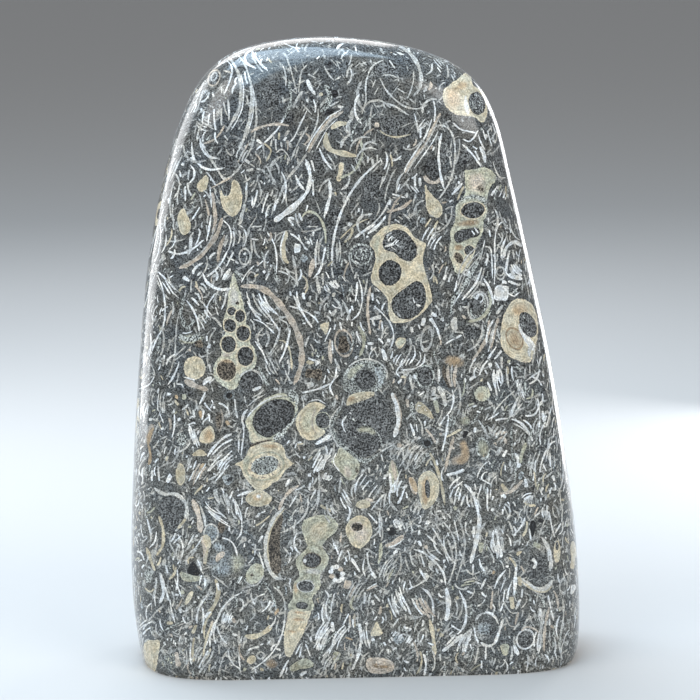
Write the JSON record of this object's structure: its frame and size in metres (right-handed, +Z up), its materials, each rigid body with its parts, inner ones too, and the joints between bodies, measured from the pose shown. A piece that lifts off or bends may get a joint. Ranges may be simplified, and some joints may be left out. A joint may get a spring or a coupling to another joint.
{
  "type": "turritella agate freeform",
  "caption": "Polished freestanding slab of grey fossil shell limestone with a rounded top, flat faces, rolled edges and a flat sawn base.",
  "frame": {"origin": "middle of the flat sawn base that the stone stands on", "axes": "+Z up, front face towards -Y, width along X"},
  "size_m": [0.1113, 0.0465, 0.1531],
  "materials": {
    "polished_shell_limestone": "polished dark grey limestone packed with white and cream fossil shells"
  },
  "bodies": {
    "root": {"stone": "polished_shell_limestone"}
  },
  "joints": []
}
